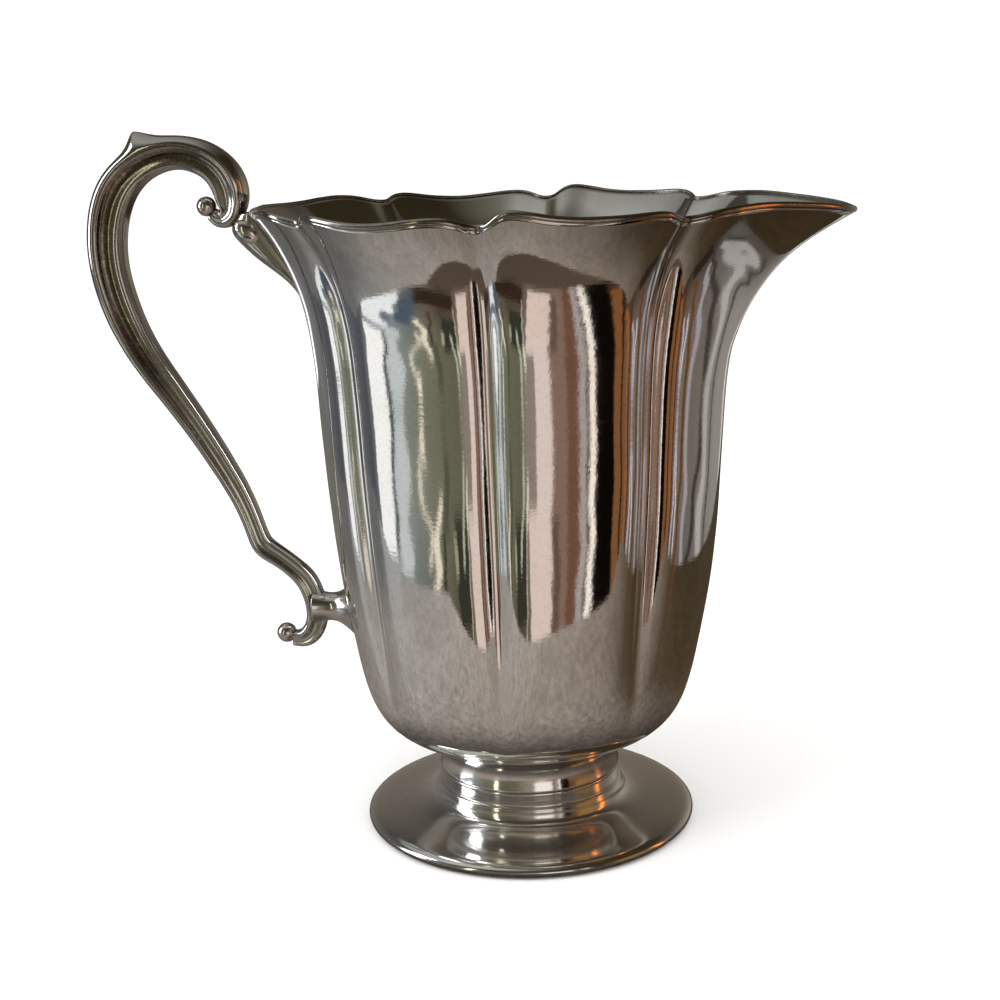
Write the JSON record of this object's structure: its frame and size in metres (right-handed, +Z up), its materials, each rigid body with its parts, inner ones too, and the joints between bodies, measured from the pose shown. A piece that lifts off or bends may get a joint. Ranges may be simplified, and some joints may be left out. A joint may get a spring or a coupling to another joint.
{
  "type": "cream jug",
  "caption": "Fluted silver cream jug with a scalloped flaring lip, drawn spout, cast scroll handle and a round stepped foot.",
  "frame": {"origin": "centre of the circle that the foot stands on, on the table's plane", "axes": "+X out of the spout, -X to the handle, +Z up; the XZ plane is the plane of symmetry"},
  "size_m": [0.1388, 0.0926, 0.1288],
  "materials": {
    "silver_sheet": "polished silver, faint scratches and haze",
    "silver_foot": "polished silver, slightly yellowed with turning marks",
    "silver_casting": "polished cast silver, darker tarnish in the hollows",
    "silver_solder": "dull dark solder line"
  },
  "bodies": {
    "root": {"body_shell": "silver_sheet", "rim_wire": "silver_sheet", "neck_collar": "silver_foot", "collar_body_solder": "silver_solder", "collar_foot_solder": "silver_solder", "foot_shell": "silver_foot", "foot_base_wire": "silver_foot", "handle_scroll": "silver_casting", "volute_bead": "silver_casting", "scroll_bead": "silver_casting", "upper_bracket": "silver_casting", "bracket_beads": "silver_casting", "lower_mount": "silver_casting", "lower_mount_solder": "silver_solder"}
  },
  "joints": []
}
